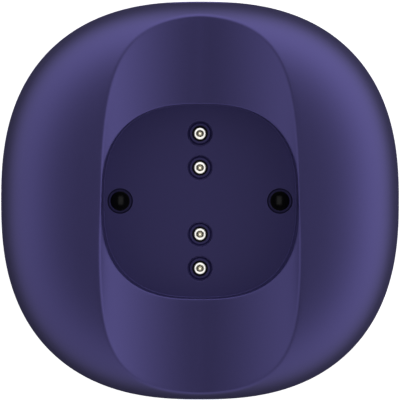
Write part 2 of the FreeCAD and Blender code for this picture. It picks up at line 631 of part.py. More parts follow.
def main():
    os.makedirs("parts", exist_ok=True)
    for node, shape in parts().items():
        solids = shape.Solids
        print("%-24s solids %d  valid %s  volume %.2f" % (node, len(solids), shape.isValid(), shape.Volume))
        shape.exportStep("parts/" + node + ".step")


main()
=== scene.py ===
"""Charging dock for an electric toothbrush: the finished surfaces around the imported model.

Every size is in metres. Lengths that a person would name in millimetres are written as a number times MM.
"""
import json
import math

import bmesh
import bpy
import numpy as np
from bpy.props import FloatProperty, FloatVectorProperty, IntProperty, PointerProperty
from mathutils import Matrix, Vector
from mathutils.geometry import delaunay_2d_cdt

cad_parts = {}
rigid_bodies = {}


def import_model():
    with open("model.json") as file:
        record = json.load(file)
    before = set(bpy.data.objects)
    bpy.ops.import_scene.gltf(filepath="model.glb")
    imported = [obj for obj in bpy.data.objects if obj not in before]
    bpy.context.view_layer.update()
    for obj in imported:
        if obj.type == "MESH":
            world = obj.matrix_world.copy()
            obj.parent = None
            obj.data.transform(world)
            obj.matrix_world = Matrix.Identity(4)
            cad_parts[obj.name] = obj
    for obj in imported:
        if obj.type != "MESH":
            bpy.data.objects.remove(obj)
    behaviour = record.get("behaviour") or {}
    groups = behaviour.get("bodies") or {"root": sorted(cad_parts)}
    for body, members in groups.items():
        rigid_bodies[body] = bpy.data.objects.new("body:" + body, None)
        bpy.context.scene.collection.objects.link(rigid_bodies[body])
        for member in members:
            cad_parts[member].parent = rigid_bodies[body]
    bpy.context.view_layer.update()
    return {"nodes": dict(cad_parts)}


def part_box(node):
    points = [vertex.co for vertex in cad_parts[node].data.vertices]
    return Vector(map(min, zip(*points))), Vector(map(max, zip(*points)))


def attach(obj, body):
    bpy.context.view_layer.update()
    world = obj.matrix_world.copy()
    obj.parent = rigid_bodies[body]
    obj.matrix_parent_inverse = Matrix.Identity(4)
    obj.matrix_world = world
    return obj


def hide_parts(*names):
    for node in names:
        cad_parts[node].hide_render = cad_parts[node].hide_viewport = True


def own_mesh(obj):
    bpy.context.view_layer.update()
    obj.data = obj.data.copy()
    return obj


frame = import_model()
MM = 0.001

bl_info = {
    "name": "Toothbrush charging dock",
    "version": (1, 0, 0),
    "blender": (4, 5, 0),
    "location": "3D View > Sidebar > Dock",
    "description": "Builds a moulded charging dock with sprung contacts, piece by piece",
    "category": "Add Mesh",
}


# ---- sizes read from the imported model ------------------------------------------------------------
def middle(node):
    """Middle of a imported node's box."""
    low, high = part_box(node)
    return (low + high) / 2


HOUSING_LOW, HOUSING_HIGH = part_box("lower_housing")
FOOT_LOW, FOOT_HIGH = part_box("foot_ring")
BARREL_LOW, BARREL_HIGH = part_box("pin_barrel_1")
BOARD_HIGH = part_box("contact_board")[1]
SOCKET_LOW, SOCKET_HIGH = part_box("socket_shell")
HALF = HOUSING_HIGH.x
POCKET_FLOOR = BARREL_HIGH.z
CONTACTS = [middle("pin_barrel_%d" % number).y for number in (1, 2, 3, 4)]
STUD_X = middle("locating_stud_right").x


# ---- colours -------------------------------------------------------------------------------------
def linear(text):
    """Linear red, green and blue from an sRGB hex colour."""
    values = []
    for place in (1, 3, 5):
        share = int(text[place:place + 2], 16) / 255
        values.append(share / 12.92 if share <= 0.04045 else ((share + 0.055) / 1.055) ** 2.4)
    return tuple(values)


def length(name, description, default):
    """A length property, in metres."""
    return FloatProperty(name=name, description=description, default=default, unit="LENGTH", precision=5)


def lean_angle(name, description, degrees):
    """An angle property, given in degrees."""
    return FloatProperty(name=name, description=description, default=math.radians(degrees), unit="ROTATION")


def colour(name, description, text):
    """A colour property, given as an sRGB hex colour."""
    return FloatVectorProperty(
        name=name, description=description, default=linear(text), subtype="COLOR", size=3, min=0.0, max=1.0)


class DockShape(bpy.types.PropertyGroup):
    """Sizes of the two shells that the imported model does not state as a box."""
    squareness: FloatProperty(name="Squareness", description="Outline of the body: 2 is round", default=2.47)
    dome_height: length("Dome height", "From the widest level to the top of the uncut dome", 20 * MM)
    dome_fullness: FloatProperty(
        name="Dome fullness", description="Side view of the dome: 2 is an ellipse", default=3.9)
    wall: length("Wall", "Thickness of both shells", 2 * MM)
    parting_gap: length("Parting gap", "Shadow line between the shells", 0.2 * MM)
    channel_half_width: length("Channel half width", "Where the channel's sides turn upright", 17.5 * MM)
    channel_floor: length("Channel floor", "Above the widest level, at the middle", 13.1 * MM)
    channel_rise: length("Channel rise", "Height of the channel's curved sides", 8.64 * MM)
    channel_fullness: FloatProperty(
        name="Channel fullness", description="Section of the channel", default=1.585)
    channel_slope: lean_angle("Channel slope", "Fall towards the front", 1.74)
    pocket_half: length("Pocket half width", "At the level of the channel's floor", 16 * MM)
    pocket_squareness: FloatProperty(
        name="Pocket squareness", description="Outline of the pocket", default=2.6)
    pocket_draft: lean_angle("Pocket draft", "Lean of the pocket's sides", 0.6)
    pocket_corner: length("Pocket corner", "Rounding between the pocket's sides and its floor", 0.1 * MM)
    edge: length("Edge", "Softening of the channel's and the pocket's edges", 0.32 * MM)
    mould_edge: length("Mould edge", "Softening of the shells' other edges", 0.12 * MM)
    underside_inset: length("Underside inset", "How far the underside curves in", 7 * MM)
    lip_height: length("Lip height", "Of the housing's lip above the widest level", 2 * MM)
    lip_gap: length("Lip gap", "Between the lip and the upper shell's wall", 0.15 * MM)
    lip_thickness: length("Lip thickness", "Of the housing's lip", 1 * MM)
    plug_half_width: length("Plug recess half width", "Round the inlet", 6.5 * MM)
    plug_half_height: length("Plug recess half height", "Round the inlet", 3.5 * MM)
    plug_edge: length("Plug recess edge", "Softening of the recess's mouth", 0.3 * MM)
    foot_width: length("Foot width", "Of the rubber ring", 1.8 * MM)
    foot_gap: length("Foot gap", "Between the ring and its groove", 0.02 * MM)
    foot_edge: length("Foot edge", "Rounding of the ring's edges", 0.3 * MM)
    foot_groove: length("Grip groove", "Half width and depth of the ring's grip grooves", 0.12 * MM)
    screw_head: length("Screw head radius", "Of the housing screws", 2 * MM)
    screw_gap: length("Screw gap", "Between a screw's head and its well", 0.15 * MM)
    screw_length: length("Screw length", "From a housing screw's end down to its seat", 8 * MM)
    screw_hole: length("Screw hole radius", "Through a pillar", 1.45 * MM)
    pillar_radius: length("Pillar radius", "Of the screw pillars", 3.2 * MM)
    pillar_drop: length("Pillar drop", "From the socket's underside to a pillar's top", 4.6 * MM)


class DockContacts(bpy.types.PropertyGroup):
    """Sizes round the charging contacts and the studs."""
    recess_radius: length("Recess radius", "Round each stud", 2 * MM)
    contact_recess_radius: length("Contact recess radius", "Round each contact", 2.07 * MM)
    recess_depth: length("Contact recess depth", "Below the pocket's floor", 0.5 * MM)
    groove_width: length("Groove width", "Round the foot of each contact's recess", 0.4 * MM)
    groove_depth: length("Groove depth", "Below the recess", 0.16 * MM)
    stud_recess_depth: length("Stud recess depth", "Below the pocket's floor", 0.8 * MM)
    hole_radius: length("Hole radius", "In the pocket's floor, round a barrel", 1.3 * MM)
    barrel_radius: length("Barrel radius", "Outside of the plated tube", 1 * MM)
    mouth_radius: length("Mouth radius", "Opening of the turned-in mouth", 0.53 * MM)
    bore_radius: length("Bore radius", "Inside of the barrel", 0.75 * MM)
    mouth_depth: length("Mouth depth", "Thickness of the turned-in mouth", 0.4 * MM)
    tail_radius: length("Tail radius", "Soldered end under the board", 0.35 * MM)
    tip_radius: length("Tip radius", "Sprung tip", 0.37 * MM)
    tip_end: length("Tip end", "Radius of the tip's flat end", 0.33 * MM)
    shoulder_radius: length("Shoulder radius", "Of the plunger inside the barrel", 0.7 * MM)
    shoulder_length: length("Shoulder length", "Of the plunger inside the barrel", 1.6 * MM)
    pilot_radius: length("Pilot radius", "Pin that guides the spring", 0.3 * MM)
    travel: length("Travel", "How far a tip is pressed in", 0.9 * MM)
    spring_wire: length("Spring wire", "Thickness of the wire", 0.2 * MM)
    spring_turns: IntProperty(name="Spring turns", description="Number of turns", default=6)
    stem_radius: length("Stud stem radius", "Below a stud's head", 0.85 * MM)
    stem_gap: length("Stud stem gap", "Between a stud's stem and its hole", 0.05 * MM)
    stud_edge: length("Stud edge", "Softening round a stud's head", 0.12 * MM)
    recess_edge: length("Recess edge", "Softening of the recesses' edges", 0.1 * MM)
    barrel_rim: length("Barrel rim", "Rounding round a barrel's end", 0.1 * MM)
    mouth_rim: length("Mouth rim", "Rounding round a barrel's mouth", 0.05 * MM)
    tip_crown: length("Tip crown", "Height of the tip's domed end", 0.008 * MM)
    stud_crown: length("Stud crown", "Height of a stud's domed face", 0.12 * MM)


class DockFinish(bpy.types.PropertyGroup):
    """Colours of the visible finishes."""
    shell: colour("Shell", "Pearl-pigmented ABS", "#4b457d")
    foot: colour("Foot", "Silicone rubber", "#24242a")
    plating: colour("Plating", "Bright plating of the barrels", "#f2f0ea")
    gold: colour("Gold", "Plated contact tips", "#fff6da")
    stud: colour("Stud", "Black acrylic", "#060609")
    steel: colour("Steel", "Socket and screws", "#b9b9bd")
    board: colour("Board", "Solder mask", "#1d5a38")
    backdrop: colour("Backdrop", "Paper sweep", "#f7f7f7")


class DockStudio(bpy.types.PropertyGroup):
    """Lights and camera."""
    camera_tilt: lean_angle("Camera tilt", "Away from straight above, towards the back", 1.2)
    lens: FloatProperty(name="Lens", description="Focal length", default=600.0, unit="CAMERA")
    frame_width: length("Frame width", "Width of the picture at the widest level", 66.58 * MM)
    sensor_width: FloatProperty(name="Sensor width", description="In millimetres", default=36.0)
    top_light: FloatProperty(name="Top light", description="Radiance of the overhead box", default=1.3)
    box_height: length("Box height", "Of the overhead box above the floor", 1.2)
    box_width: length("Box width", "Of the overhead box", 0.17)
    box_depth: length("Box depth", "Of the overhead box", 0.3)
    world_light: FloatProperty(
        name="World light", description="Radiance of the tent at its brightest", default=1.15)
    tent_lean: FloatVectorProperty(
        name="Tent lean", description="How much brighter the tent is to the right and back",
        default=(0.2, 0.32, 0.0), size=3)
    bend_radius: length("Bend radius", "Of the paper sweep's curve", 0.6)
    floor_radius: length("Floor radius", "Of the paper sweep", 2.6)
    sweep_height: length("Sweep height", "Of the paper sweep's upright part", 2.2)


SETTINGS = {"dock_shape": DockShape, "dock_contacts": DockContacts, "dock_finish": DockFinish,
            "dock_studio": DockStudio}


# ---- material tools ------------------------------------------------------------------------------
def add(tree, kind, inputs=None, **settings):
    """Adds one shader node; an input is a value, or a (node, output) pair to link from."""
    node = tree.nodes.new(kind)
    for name, value in settings.items():
        setattr(node, name, value)
    for name, value in (inputs or {}).items():
        if isinstance(value, tuple) and isinstance(value[0], bpy.types.Node):
            tree.links.new(value[0].outputs[value[1]], node.inputs[name])
        else:
            node.inputs[name].default_value = value
    return node


def new_material(name):
    """An empty node material and its tree."""
    material = bpy.data.materials.new(name)
    material.use_nodes = True
    material.node_tree.nodes.clear()
    return material, material.node_tree


def rgba(value, gain=1.0):
    """A linear colour with its alpha, made brighter or darker by gain."""
    return tuple(min(1.0, part * gain) for part in value) + (1.0,)


def position(tree, stretch=(1.0, 1.0, 1.0)):
    """Object position, where 1 unit is a metre; stretch makes a pattern finer along an axis."""
    place = add(tree, "ShaderNodeTexCoord")
    return add(tree, "ShaderNodeMapping", {"Vector": (place, "Object"), "Scale": stretch})


def grain(tree, size, detail=2.0, rough=0.5, stretch=(1.0, 1.0, 1.0)):
    """Noise whose lumps are about size across."""
    return add(tree, "ShaderNodeTexNoise", {
        "Vector": (position(tree, stretch), "Vector"), "Scale": 1 / size,
        "Detail": detail, "Roughness": rough})


def spread(tree, source, output, low, high):
    """Maps a pattern's middle range on to low to high."""
    return add(tree, "ShaderNodeMapRange", {
        "Value": (source, output), "From Min": 0.3, "From Max": 0.7, "To Min": low, "To Max": high})


def surface(tree, inputs, bump=None, depth=0.0, strength=1.0):
    """Principled shader and output, with an optional bump whose depth is a real height."""
    shader = add(tree, "ShaderNodeBsdfPrincipled", inputs)
    if bump is not None:
        relief = add(tree, "ShaderNodeBump", {"Height": bump, "Distance": depth, "Strength": strength})
        tree.links.new(relief.outputs["Normal"], shader.inputs["Normal"])
    add(tree, "ShaderNodeOutputMaterial", {"Surface": (shader, "BSDF")})
    return shader


def tinted(tree, value, source, output, low, high):
    """A colour that a pattern makes a little darker or lighter."""
    return add(tree, "ShaderNodeMix", {
        "Factor": (source, output), "A": rgba(value, low), "B": rgba(value, high)}, data_type="RGBA")


# ---- materials -----------------------------------------------------------------------------------
def pearl_abs(finish):
    """Pearl-pigmented ABS, injection moulded in a spark-eroded mould: satin, with broad soft glints."""
    material, tree = new_material("Pearl ABS, satin moulded")
    flakes = grain(tree, 0.35 * MM, 3.0)
    peel = grain(tree, 0.16 * MM, 2.0)
    base = tinted(tree, finish.shell, flakes, "Fac", 0.94, 1.06)
    rough = spread(tree, flakes, "Fac", 0.38, 0.43)
    surface(tree, {"Base Color": (base, "Result"), "Roughness": (rough, "Result"), "Metallic": 0.85,
                   "IOR": 1.53, "Coat Weight": 0.15, "Coat Roughness": 0.5},
            (peel, "Fac"), 0.006 * MM, 0.5)
    return material


def silicone(name, value, size=0.4 * MM):
    """Silicone rubber, compression moulded: matt, with a faint bloom."""
    material, tree = new_material(name)
    bloom = grain(tree, size, 4.0)
    base = tinted(tree, value, bloom, "Fac", 0.8, 1.25)
    surface(tree, {"Base Color": (base, "Result"), "Roughness": 0.62, "IOR": 1.43, "Sheen Weight": 0.2,
                   "Sheen Roughness": 0.5}, (bloom, "Fac"), 0.01 * MM, 0.6)
    return material


def turned_metal(name, value, roughness, pitch, depth):
    """Turned metal with a plated skin: bright, with fine rings left by the tool."""
    material, tree = new_material(name)
    marks = grain(tree, pitch, 2.0, 0.5, (1.0, 1.0, 6.0))
    rough = spread(tree, marks, "Fac", roughness * 0.85, roughness * 1.15)
    base = tinted(tree, value, marks, "Fac", 0.96, 1.0)
    surface(tree, {"Base Color": (base, "Result"), "Metallic": 1.0, "Roughness": (rough, "Result")},
            (marks, "Fac"), depth, 0.3)
    return material


def rolled_steel(name, value, roughness, stretch=(1.0, 12.0, 1.0)):
    """Rolled or drawn steel: grain lines along the way it was drawn."""
    material, tree = new_material(name)
    lines = grain(tree, 0.6 * MM, 4.0, 0.6, stretch)
    rough = spread(tree, lines, "Fac", roughness * 0.8, roughness * 1.25)
    base = tinted(tree, value, lines, "Fac", 0.88, 1.05)
    surface(tree, {"Base Color": (base, "Result"), "Metallic": 1.0, "Roughness": (rough, "Result")},
            (lines, "Fac"), 0.003 * MM, 0.4)
    return material


def black_acrylic(finish):
    """Acrylic, moulded in a polished mould: black and wet-looking."""
    material, tree = new_material("Black acrylic, polished")
    haze = grain(tree, 0.9 * MM, 3.0)
    rough = spread(tree, haze, "Fac", 0.1, 0.14)
    surface(tree, {"Base Color": rgba(finish.stud), "Roughness": (rough, "Result"), "IOR": 1.22},
            (haze, "Fac"), 0.002 * MM, 0.3)
    return material


def moulded_resin(name, value, roughness, size):
    """Filled resin, transfer moulded: matt and finely speckled."""
    material, tree = new_material(name)
    speckle = grain(tree, size, 5.0, 0.7)
    base = tinted(tree, value, speckle, "Fac", 0.7, 1.4)
    surface(tree, {"Base Color": (base, "Result"), "Roughness": roughness, "IOR": 1.5},
            (speckle, "Fac"), 0.01 * MM, 0.7)
    return material


def solder_mask(finish):
    """Glass-epoxy board under solder mask: copper tracks show as lighter raised lines."""
    material, tree = new_material("Solder mask on glass epoxy")
    tracks = add(tree, "ShaderNodeTexBrick", {
        "Vector": (position(tree), "Vector"), "Scale": 1 / (2.4 * MM), "Mortar Size": 0.09,
        "Color1": (0, 0, 0, 1), "Color2": (0, 0, 0, 1), "Mortar": (1, 1, 1, 1)})
    weave = grain(tree, 0.3 * MM, 2.0)
    base = add(tree, "ShaderNodeMix", {
        "Factor": (tracks, "Color"), "A": rgba(finish.board), "B": rgba(finish.board, 1.8)}, data_type="RGBA")
    rough = spread(tree, weave, "Fac", 0.3, 0.42)
    surface(tree, {"Base Color": (base, "Result"), "Roughness": (rough, "Result"), "IOR": 1.55},
            (tracks, "Color"), 0.03 * MM, 0.6)
    return material


def foam(finish):
    """Closed-cell foam tape: matt, with pin holes."""
    material, tree = new_material("Closed-cell foam, skived")
    cells = add(tree, "ShaderNodeTexVoronoi", {"Vector": (position(tree), "Vector"), "Scale": 1 / (0.5 * MM)})
    base = tinted(tree, finish.foot, cells, "Distance", 0.6, 1.3)
    surface(tree, {"Base Color": (base, "Result"), "Roughness": 0.9}, (cells, "Distance"), 0.05 * MM, 0.7)
    return material


def paper_sweep(finish):
    """Matt paper, lit evenly from behind the object: almost white, with a soft contact shadow."""
    material, tree = new_material("Matt paper sweep")
    fibre = grain(tree, 1.5 * MM, 3.0)
    base = tinted(tree, finish.backdrop, fibre, "Fac", 0.99, 1.0)
    surface(tree, {"Base Color": (base, "Result"), "Roughness": 0.9, "Specular IOR Level": 0.0,
                   "Emission Color": rgba(finish.backdrop), "Emission Strength": 0.82})
    return material


# ---- outline formulas ----------------------------------------------------------------------------
def squircle(angles, half, squareness):
    """Distance from the middle to a superellipse outline at each angle."""
    across = np.abs(np.cos(angles)) ** squareness
    along = np.abs(np.sin(angles)) ** squareness
    return half / (across + along) ** (1 / squareness)


def profile_reach(direction, fullness):
    """Distance from the middle to a superellipse's side view, where both half axes are 1."""
    return (np.cos(direction) ** fullness + np.sin(direction) ** fullness) ** (-1 / fullness)


def ring_points(angles, radii, heights):
    """A ring of points round Z, one at each angle."""
    heights = np.broadcast_to(heights, angles.shape)
    return np.stack([radii * np.cos(angles), radii * np.sin(angles), heights], axis=1)


def circle_points(count, radius, height, x=0.0, y=0.0):
    """A level circle of points round an upright axis at x, y."""
    turn = np.linspace(0, 2 * math.pi, count, endpoint=False)
    return np.stack([x + radius * np.cos(turn), y + radius * np.sin(turn), np.full(count, height)], axis=1)


class BodyForm:
    """The formulas of the dome, the channel and the pocket."""

    def __init__(self, shape, count):
        self.shape = shape
        self.widest = HOUSING_HIGH.z - shape.lip_height
        self.parting = self.widest + shape.parting_gap / 2
        self.channel_z = self.widest + shape.channel_floor
        self.angles = np.linspace(0, 2 * math.pi, count, endpoint=False)
        self.cos = np.cos(self.angles)
        self.sin = np.sin(self.angles)
        self.outline = squircle(self.angles, HALF, shape.squareness)

    def dome(self, radii, inwards=0.0):
        """Height of the dome's surface, or of its inside, at each angle and radius."""
        shape = self.shape
        half = HALF - inwards
        share = np.clip(radii / squircle(self.angles, half, shape.squareness), 0, 1)
        level = np.maximum(1 - share ** shape.dome_fullness, 0) ** (1 / shape.dome_fullness)
        return self.widest + (shape.dome_height - inwards) * level

    def channel(self, radii, inwards=0.0):
        """Height of the channel's surface, or of its underside, at each angle and radius."""
        shape = self.shape
        half_width = shape.channel_half_width + inwards
        share = np.clip(np.abs(radii * self.cos) / half_width, 0, 1)
        rise = 1 - (1 - share ** shape.channel_fullness) ** (1 / shape.channel_fullness)
        upright = np.where(share >= 1, 1.0, 0.0)
        fall = math.tan(shape.channel_slope) * radii * self.sin
        return self.channel_z - inwards + shape.channel_rise * rise + fall + upright

    def rim(self):
        """Radius at which the channel leaves the dome."""
        low = np.zeros_like(self.angles)
        high = self.outline.copy()
        for _ in range(60):
            centre = (low + high) / 2
            inside = self.dome(centre) > self.channel(centre)
            low = np.where(inside, centre, low)
            high = np.where(inside, high, centre)
        return (low + high) / 2

    def pocket(self, heights, outwards=0.0):
        """Radius of the pocket's side at each angle and height."""
        shape = self.shape
        half = shape.pocket_half + outwards + (heights - self.channel_z) * math.tan(shape.pocket_draft)
        return squircle(self.angles, half, shape.pocket_squareness)

    def pocket_lip(self, rim):
        """Radius at which the pocket's side meets the channel, always a little inside the rim."""
        radii = self.pocket(self.channel_z)
        for _ in range(12):
            radii = np.minimum(self.pocket(self.channel(radii)), rim - 0.28 * MM)
        return radii


def skew(radii, angles):
    """How much longer a distance is along the radius than square to the outline."""
    step = angles[1] - angles[0]
    slope = (np.roll(radii, -1) - np.roll(radii, 1)) / (2 * step)
    return np.sqrt(1 + (slope / radii) ** 2)


# ---- mesh tools ----------------------------------------------------------------------------------
class Skin:
    """Collects rings of points and the faces between them, and makes one closed mesh."""

    def __init__(self):
        self.points = []
        self.faces = []

    def ring(self, points):
        """Adds points and gives their indexes."""
        start = len(self.points)
        self.points.extend(tuple(float(value) for value in point) for point in points)
        return list(range(start, start + len(points)))

    def bridge(self, first, second):
        """A band of faces between two rings of the same length."""
        count = len(first)
        for place in range(count):
            after = (place + 1) % count
            self.faces.append((first[place], first[after], second[after], second[place]))

    def chain(self, rings, start=None):
        """Joins rings of points one after the other and gives the last one's indexes."""
        last = start
        for points in rings:
            current = self.ring(points)
            if last is not None:
                self.bridge(last, current)
            last = current
        return last

    def fill(self, outer, holes=()):
        """A flat face inside a convex outline, with round holes given as (indexes, x, y, radius)."""
        indexes = list(outer)
        edges = [(place, (place + 1) % len(outer)) for place in range(len(outer))]
        for hole, _x, _y, _radius in holes:
            start = len(indexes)
            indexes.extend(hole)
            edges.extend((start + place, start + (place + 1) % len(hole)) for place in range(len(hole)))
        flat = [Vector((self.points[index][0] / MM, self.points[index][1] / MM)) for index in indexes]
        _, _, triangles, origins, _, _ = delaunay_2d_cdt(flat, edges, [], 0, 1e-5, True)
        for triangle in triangles:
            corners = [indexes[min(origins[corner])] for corner in triangle]
            x = sum(self.points[corner][0] for corner in corners) / 3
            y = sum(self.points[corner][1] for corner in corners) / 3
            in_hole = False
            for hole, hole_x, hole_y, radius in holes:
                inner = radius * math.cos(math.pi / len(hole))
                in_hole = in_hole or math.hypot(x - hole_x, y - hole_y) < inner
            if not in_hole:
                self.faces.append(tuple(corners))

    def cap(self, outer):
        """A flat cap on a ring, as a fan round its middle."""
        corners = np.array([self.points[index] for index in outer])
        centre = self.ring([corners.mean(axis=0)])[0]
        for place in range(len(outer)):
            self.faces.append((outer[place], outer[(place + 1) % len(outer)], centre))

    def build(self, name):
        """The finished mesh, as a piece in the scene."""
        mesh = bpy.data.meshes.new(name)
        mesh.from_pydata(self.points, [], self.faces)
        piece = bpy.data.objects.new(name, mesh)
        bpy.context.scene.collection.objects.link(piece)
        tidy(piece)
        return piece


def tidy(piece, sharp=32.0):
    """Turns the faces outwards and shades the mesh smooth up to an angle."""
    work = bmesh.new()
    work.from_mesh(piece.data)
    bmesh.ops.remove_doubles(work, verts=work.verts, dist=1e-7)
    bmesh.ops.dissolve_degenerate(work, edges=work.edges, dist=1e-7)
    bmesh.ops.recalc_face_normals(work, faces=work.faces)
    work.to_mesh(piece.data)
    work.free()
    piece.data.shade_smooth()
    piece.data.set_sharp_from_angle(angle=math.radians(sharp))


def bend(start, corner, end, steps):
    """Points on a soft corner between two rings, without the first."""
    points = []
    for step in range(1, steps + 1):
        share = step / steps
        points.append((1 - share) ** 2 * start + 2 * share * (1 - share) * corner + share ** 2 * end)
    return points


def turned(name, profile, x, y, count=72):
    """A turned piece from (radius, height) points, closed at both ends."""
    skin = Skin()
    rings = [circle_points(count, radius, height, x, y) for radius, height in profile]
    first = skin.ring(rings[0])
    last = skin.chain(rings[1:], first)
    skin.cap(first)
    skin.cap(last)
    return skin.build(name)


def arc(centre_radius, centre_height, size_radius, size_height, start, end, steps):
    """Points on an elliptical arc of a profile, from one angle in degrees to another."""
    points = []
    for step in range(steps + 1):
        angle = math.radians(start + (end - start) * step / steps)
        radius = centre_radius + size_radius * math.cos(angle)
        points.append((radius, centre_height + size_height * math.sin(angle)))
    return points


def dress(piece, material):
    """Gives a new piece its only material."""
    piece.data.materials.clear()
    piece.data.materials.append(material)


def place_in_frame(piece, body, material, nodes):
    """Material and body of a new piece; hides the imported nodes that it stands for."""
    dress(piece, material)
    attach(piece, body)
    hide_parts(*nodes)


def paint_node(node, material):
    """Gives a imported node's own mesh a finished material."""
    for slot in frame["nodes"][node].material_slots:
        slot.material = material


def cut_away(piece, cutter):
    """Cuts the cutter's shape out of a piece and removes the cutter."""
    modifier = piece.modifiers.new("cut", "BOOLEAN")
    modifier.operation = "DIFFERENCE"
    modifier.solver = "EXACT"
    modifier.object = cutter
    bpy.context.view_layer.update()
    result = bpy.data.meshes.new_from_object(piece.evaluated_get(bpy.context.evaluated_depsgraph_get()))
    piece.modifiers.clear()
    old = piece.data
    piece.data = result
    bpy.data.meshes.remove(old)
    bpy.data.objects.remove(cutter)


# ---- upper shell ---------------------------------------------------------------------------------
OUTLINE_STEPS = 480
DOME_STEPS = 44
CHANNEL_STEPS = 26
POCKET_SIDE_STEPS = 10
POCKET_CORNER_STEPS = 9
INSIDE_STEPS = 30
INSIDE_SIDE_STEPS = 6
BOWL_STEPS = 22
EDGE_STEPS = 6
HOLE_STEPS = 56
PLUG_STEPS = 96
COIL_STEPS = 28


def outer_rings(form):
    """The outside of the upper shell, from its lower edge over the rim down to the pocket's floor."""
    shape = form.shape
    angles = form.angles
    rim = form.rim()
    lip = form.pocket_lip(rim)
    rim_skew = skew(rim, angles)
    lip_skew = skew(lip, angles)
    land = rim - lip
    outside = rim + shape.edge * rim_skew
    inside = rim - np.minimum(shape.edge * rim_skew, 0.42 * land)
    above = lip + np.minimum(shape.edge * lip_skew, 0.42 * land)
    rings = []
    rings.append(ring_points(angles, form.outline - shape.mould_edge, form.parting))
    start = np.arctan2((form.parting + shape.mould_edge - form.widest) / shape.dome_height, 1.0)
    share = outside / form.outline
    level = (form.dome(outside) - form.widest) / shape.dome_height
    end = np.arctan2(level, share)
    for step in range(DOME_STEPS + 1):
        direction = start + (end - start) * step / DOME_STEPS
        size = profile_reach(direction, shape.dome_fullness)
        radii = form.outline * size * np.cos(direction)
        heights = form.widest + shape.dome_height * size * np.sin(direction)
        rings.append(ring_points(angles, radii, heights))
    inner_edge = ring_points(angles, inside, form.channel(inside))
    rings.extend(bend(rings[-1], ring_points(angles, rim, form.dome(rim)), inner_edge, EDGE_STEPS))
    for step in range(1, CHANNEL_STEPS + 1):
        radii = inside + (above - inside) * step / CHANNEL_STEPS
        rings.append(ring_points(angles, radii, form.channel(radii)))
    lip_height = form.channel(lip)
    side_top = lip_height - np.minimum(shape.edge, (lip_height - POCKET_FLOOR) * 0.2)
    first = ring_points(angles, form_side(form, side_top, lip, lip_height), side_top)
    rings.extend(bend(rings[-1], ring_points(angles, lip, lip_height), first, EDGE_STEPS))
    corner_top = POCKET_FLOOR + shape.pocket_corner
    for step in range(1, POCKET_SIDE_STEPS + 1):
        heights = side_top + (corner_top - side_top) * step / POCKET_SIDE_STEPS
        rings.append(ring_points(angles, form_side(form, heights, lip, lip_height), heights))
    side = form_side(form, np.full_like(angles, corner_top), lip, lip_height)
    for step in range(1, POCKET_CORNER_STEPS + 1):
        turn = math.pi / 2 * step / POCKET_CORNER_STEPS
        radii = side - shape.pocket_corner * (1 - math.cos(turn))
        heights = corner_top - shape.pocket_corner * math.sin(turn)
        rings.append(ring_points(angles, radii, heights))
    level_edge = side - shape.pocket_corner - 0.1 * MM   # keeps the rounding's shading off the floor
    rings.append(ring_points(angles, level_edge, POCKET_FLOOR))
    return rings


def form_side(form, heights, lip, lip_height):
    """Radius of the pocket's side, eased so that it ends exactly on the lip."""
    radii = form.pocket(heights)
    share = np.clip((heights - POCKET_FLOOR) / (lip_height - POCKET_FLOOR), 0, 1)
    return radii + (lip - form.pocket(lip_height)) * share


def inner_rings(form):
    """The inside of the upper shell, from its lower edge up and in to the pocket's outer side."""
    shape = form.shape
    wall = shape.wall
    angles = form.angles
    half = squircle(angles, HALF - wall, shape.squareness)
    rings = [ring_points(angles, half, form.parting)]
    underside = POCKET_FLOOR - wall
    end_radius = form.pocket(np.full_like(angles, form.channel_z), wall) + 0.3 * MM
    level = (form.dome(end_radius, wall) - form.widest) / (shape.dome_height - wall)
    end = np.arctan2(level, end_radius / half)
    for step in range(1, INSIDE_STEPS + 1):
        direction = 0.01 + (end - 0.01) * step / INSIDE_STEPS
        size = profile_reach(direction, shape.dome_fullness)
        radii = half * size * np.cos(direction)
        heights = form.widest + (shape.dome_height - wall) * size * np.sin(direction)
        heights = np.minimum(heights, form.channel(radii, wall))
        rings.append(ring_points(angles, radii, heights))
    top = rings[-1][:, 2]
    for step in range(1, INSIDE_SIDE_STEPS + 1):
        heights = top + (underside - top) * step / INSIDE_SIDE_STEPS
        rings.append(ring_points(angles, form.pocket(heights, wall), heights))
    return rings


def pocket_holes(skin, contacts):
    """Recesses and holes of the contacts, from the pocket's floor to its underside."""
    soft = contacts.recess_edge
    radius = contacts.contact_recess_radius
    hole_radius = contacts.hole_radius
    floor = POCKET_FLOOR - contacts.recess_depth
    profile = [(radius + 2.2 * soft, POCKET_FLOOR)]
    profile += arc(radius + soft, POCKET_FLOOR - soft, -soft, soft, 90, 0, 4)
    groove = floor - contacts.groove_depth
    land = radius - contacts.groove_width
    profile += [(radius, floor), ((radius + land) / 2, groove)]
    profile += arc(land - soft / 2, floor - soft / 2, soft / 2, soft / 2, 0, 90, 3)
    profile += arc(hole_radius + soft / 2, floor - soft / 2, -soft / 2, soft / 2, 90, 0, 3)
    profile.append((hole_radius, POCKET_FLOOR - 2 * MM))
    top_holes = []
    low_holes = []
    for y in CONTACTS:
        rings = [circle_points(HOLE_STEPS, size, height, 0.0, y) for size, height in profile]
        first = skin.ring(rings[0])
        last = skin.chain(rings[1:], first)
        top_holes.append((first, 0.0, y, profile[0][0]))
        low_holes.append((last, 0.0, y, hole_radius))
    return top_holes, low_holes


